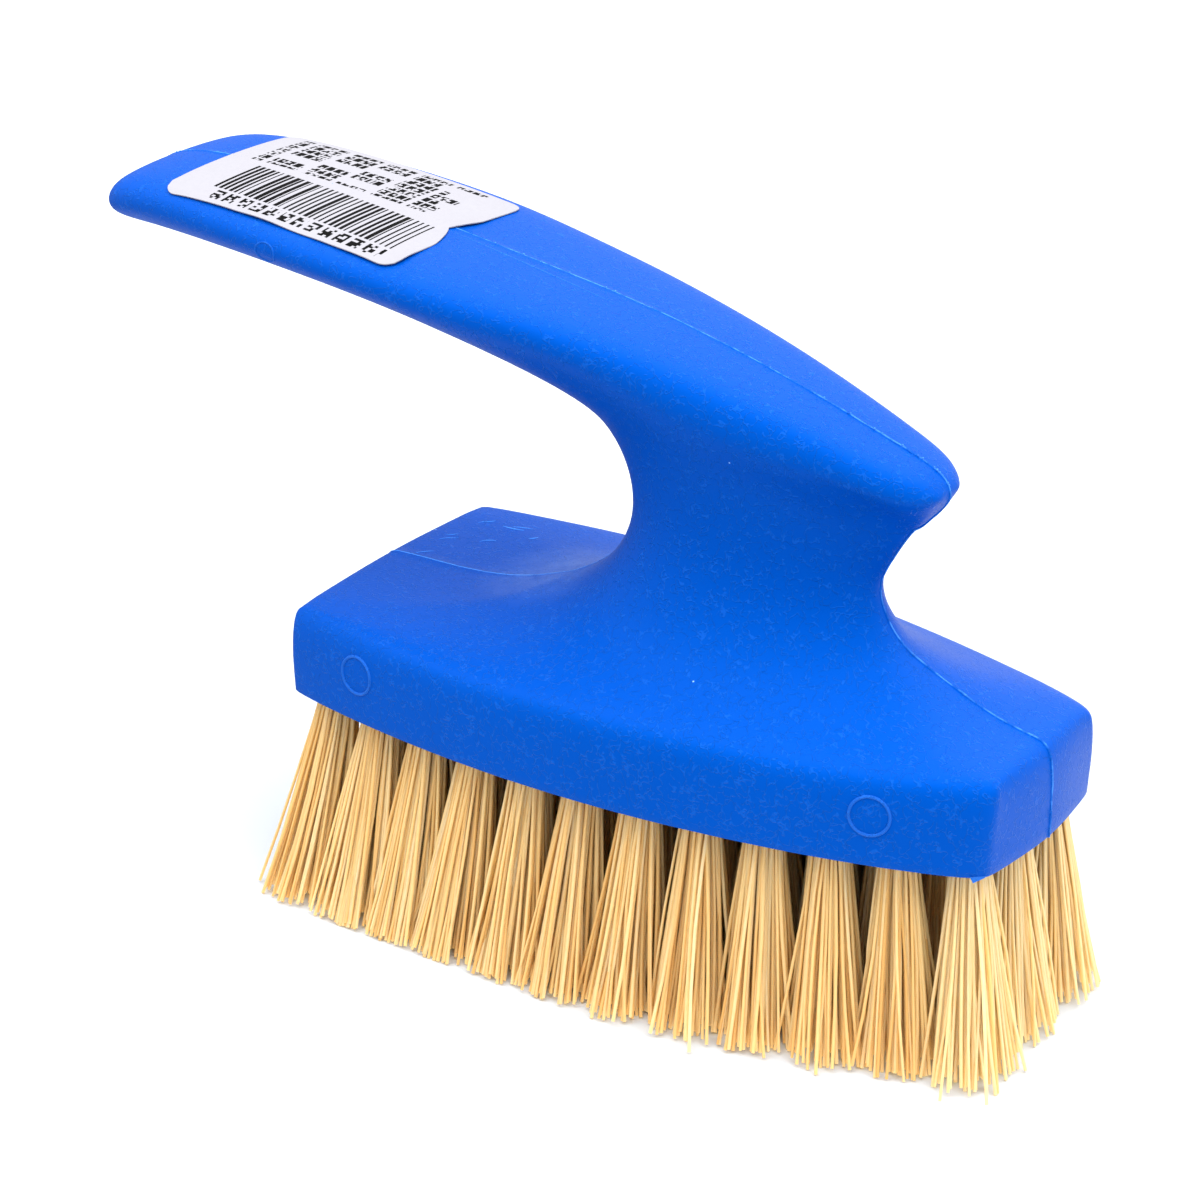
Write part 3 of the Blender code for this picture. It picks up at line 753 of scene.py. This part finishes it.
# Coated white label paper: nearly matt and slightly grey, with a faint fibre grain. Its print is
# black and flat.
paper, tree, shader, place = start_material("coated white label paper")
pulp = add_node(tree, "TexNoise", {"Vector": place, "Scale": 1 / PULP, "Detail": 4.0})
sheet = add_node(tree, "TexCoord").outputs["UV"]
in_mm = add_node(tree, "Mapping", {"Vector": sheet, "Scale": (LABEL_LENGTH, LABEL_WIDTH, 1)})
sheet_axes = add_node(tree, "SeparateXYZ", {0: in_mm})
along, over = sheet_axes.outputs["X"], sheet_axes.outputs["Y"]


def within(tree, value, low, high):
    """One where a value lies between two others, else zero."""
    middle, reach = (low + high) / 2, (high - low) / 2
    return add_node(tree, "Math", {0: value, 1: middle, 2: reach}, operation="COMPARE")


def in_steps(tree, value, pitch):
    """Number of the step that a value lies in, and the value in steps."""
    steps = add_node(tree, "Math", {0: value, 1: pitch}, operation="DIVIDE")
    return add_node(tree, "Math", {0: steps}, operation="FLOOR"), steps


def part_of_step(tree, steps, low, high):
    """One inside a share of each step, else zero."""
    return within(tree, add_node(tree, "Math", {0: steps}, operation="FRACT"), low, high)


def chance_in_cell(tree, first, second):
    """Random value of its own for each pair of whole numbers."""
    cell = add_node(tree, "CombineXYZ", {0: first, 1: second})
    return add_node(tree, "TexWhiteNoise", {"Vector": cell}, noise_dimensions="2D")


def all_of(tree, *tests):
    """One where every test is one."""
    result = tests[0]
    for test in tests[1:]:
        result = add_node(tree, "Math", {0: result, 1: test}, operation="MULTIPLY")
    return result


bar_number, bar_steps = in_steps(tree, along, BAR_PITCH)
bar_chance = add_node(tree, "TexWhiteNoise", {"W": bar_number}, noise_dimensions="1D")
bar_width = add_node(tree, "MapRange", {0: bar_chance, 3: BAR_SHARES[0], 4: BAR_SHARES[1]})
bar_place = add_node(tree, "Math", {0: bar_steps}, operation="FRACT")
in_bar = add_node(tree, "Math", {0: bar_place, 1: bar_width}, operation="LESS_THAN")
bars = all_of(tree, in_bar, within(tree, along, *BAR_FIELD[:2]), within(tree, over, *BAR_FIELD[2:]))

# Rows of words of letters, each letter cut into marks along and strokes across, on a slight slope
level = add_node(tree, "Math", {0: along, 1: -ROW_SLOPE, 2: over}, operation="MULTIPLY_ADD")
row_number, row_steps = in_steps(tree, level, ROW_PITCH)
mark_number, _ = in_steps(tree, along, MARK_PITCH)
stroke_number, _ = in_steps(tree, level, STROKE_PITCH)
_, letter_steps = in_steps(tree, along, LETTER_PITCH)
word_number, word_steps = in_steps(tree, along, WORD_PITCH)
row_chance = add_node(tree, "TexWhiteNoise", {"W": row_number}, noise_dimensions="1D")
row_end = add_node(tree, "MapRange", {0: row_chance, 3: ROW_FIELD[1] - ROW_RAG, 4: ROW_FIELD[1]})
rows = all_of(
    tree, part_of_step(tree, row_steps, 0.06, 0.84), part_of_step(tree, word_steps, 0.0, 0.84),
    part_of_step(tree, letter_steps, 0.0, 0.82),
    within(tree, chance_in_cell(tree, mark_number, stroke_number), 0.0, 0.80),
    within(tree, chance_in_cell(tree, word_number, row_number), 0.12, 1.0),
    within(tree, level, *ROW_FIELD[2:]), within(tree, along, *ROW_FIELD[:2]),
    add_node(tree, "Math", {0: along, 1: row_end}, operation="LESS_THAN"),
)

# One row of larger marks between the bars and the near edge
_, big_steps = in_steps(tree, along, BIG_PITCH)
wide_number, _ = in_steps(tree, along, BIG_MARK)
tall_number, _ = in_steps(tree, over, BIG_MARK)
bigs = all_of(
    tree, part_of_step(tree, big_steps, 0.12, 0.84),
    within(tree, chance_in_cell(tree, wide_number, tall_number), 0.0, 0.66),
    within(tree, along, *BIG_FIELD[:2]), within(tree, over, *BIG_FIELD[2:]),
)
printed = add_node(tree, "Math", {0: bars, 1: rows}, operation="MAXIMUM")
printed = add_node(tree, "Math", {0: printed, 1: bigs}, operation="MAXIMUM")
inked = painted(tree, linear("#9B9AA1"), (pulp, linear("#A2A1A8")), (printed, linear("#030304")))
fibrous = add_node(tree, "Bump", {"Height": pulp, "Distance": PULP_RELIEF * MM})
tree.links.new(inked, shader.inputs["Base Color"])
tree.links.new(fibrous.outputs["Normal"], shader.inputs["Normal"])
shader.inputs["Roughness"].default_value = 0.55
shader.inputs["Specular IOR Level"].default_value = 0.05
label.data.materials.clear()
label.data.materials.append(paper)
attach(label, "root")
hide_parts("paper_label")

# Studio
# White table in a studio with soft light from all round, strongest from above, from the nose's side
# and from the near left. What the table would throw back comes from the studio's light below it.

bpy.ops.object.select_all(action="DESELECT")
bpy.ops.mesh.primitive_plane_add(size=6)
floor = bpy.context.object
floor.name = "studio_floor"
# Matt white card: no shine, and only a soft shade on it
white_card, _, shader, _ = start_material("white card")
shader.inputs["Base Color"].default_value = linear("#C2C8CE")
shader.inputs["Roughness"].default_value = 0.9
shader.inputs["Specular IOR Level"].default_value = 0.0
floor.data.materials.append(white_card)
floor.visible_diffuse = False
floor.visible_glossy = False
floor.visible_shadow = False

# The middle of the table under the fibres, which keeps light from below out of the brush
SHADED_PLACE = (2, 0, -0.5)
SHADED_SIZE = (60, 25)
bpy.ops.object.select_all(action="DESELECT")
bpy.ops.mesh.primitive_circle_add(
    vertices=48, radius=1, fill_type="NGON", location=Vector(SHADED_PLACE) * MM,
)
bpy.ops.transform.resize(value=(SHADED_SIZE[0] * MM, SHADED_SIZE[1] * MM, 1))
bpy.ops.object.transform_apply(location=True, rotation=True, scale=True)
shaded = bpy.context.object
shaded.name = "shaded_floor"
shaded.visible_camera = False
shaded.data.materials.append(white_card)

# Soft light from all round: ways that it comes from and how strong it is there
BRIGHTNESS = 2.0
SOFT_LIGHTS = (
    ((0, 0, 1), 2.03), ((0.71, 0.04, 0.71), 1.08), ((0.31, 0.63, 0.71), 0.26),
    ((-0.31, -0.63, 0.71), 0.95), ((-0.06, 0.99, 0.14), 0.48), ((-0.89, 0.44, 0.14), 0.10),
    ((-0.82, -0.55, 0.14), 0.42), ((0.06, -0.99, 0.14), 0.10), ((0.42, -0.64, -0.64), 0.43),
    ((0.34, 0.69, -0.64), 0.53), ((0, 0, -1), 1.45), ((0.81, -0.30, -0.50), 0.40),
    ((0.93, 0, -0.37), 0.20),
)
LIGHT_FALLOFF = 4.0
world = bpy.data.worlds.new("studio")
world.use_nodes = True
tree = world.node_tree
way = add_node(tree, "TexCoord").outputs["Generated"]
total = 0.0
for source, strength in SOFT_LIGHTS:
    facing = add_node(tree, "VectorMath", {0: way, 1: source}, operation="DOT_PRODUCT")
    lit = add_node(tree, "Math", {0: facing.outputs["Value"], 1: 0.0}, operation="MAXIMUM")
    share = add_node(tree, "Math", {0: lit, 1: LIGHT_FALLOFF}, operation="POWER")
    total = add_node(tree, "Math", {0: share, 1: strength * BRIGHTNESS, 2: total}, operation="MULTIPLY_ADD")
# The camera sees plain white beyond the table
to_camera = add_node(tree, "LightPath").outputs["Is Camera Ray"]
seen = add_node(tree, "Mix", {0: to_camera, 2: total, 3: 1.0}, data_type="FLOAT")
tree.nodes["Background"].inputs["Color"].default_value = (1, 1, 1, 1)
tree.links.new(seen.outputs[0], tree.nodes["Background"].inputs["Strength"])
bpy.context.scene.world = world

# The camera stands where the photograph was taken from, with its bearing, height angle and roll
AZIMUTH, ELEVATION, ROLL = math.radians(33.63), math.radians(25.06), math.radians(0.73)
CAMERA_PLACE = (214.9, -319.0, 218.8)
LENS = 103.4
SENSOR_WIDTH = 36
level_share = math.cos(ELEVATION)
back = (math.sin(AZIMUTH) * level_share, -math.cos(AZIMUTH) * level_share, math.sin(ELEVATION))
back = Vector(back)
right = Vector((math.cos(AZIMUTH), math.sin(AZIMUTH), 0))
up = back.cross(right)
side_axis = right * math.cos(ROLL) + up * math.sin(ROLL)
up_axis = up * math.cos(ROLL) - right * math.sin(ROLL)
camera = bpy.data.objects.new("camera", bpy.data.cameras.new("camera"))
bpy.context.scene.collection.objects.link(camera)
camera.data.lens = LENS
camera.data.sensor_width = SENSOR_WIDTH
camera.data.clip_start = 0.01
turned = Matrix((side_axis, up_axis, back)).transposed().to_4x4()
camera.matrix_world = Matrix.Translation(Vector(CAMERA_PLACE) * MM) @ turned
bpy.context.scene.camera = camera
bpy.context.scene.view_settings.view_transform = "Standard"
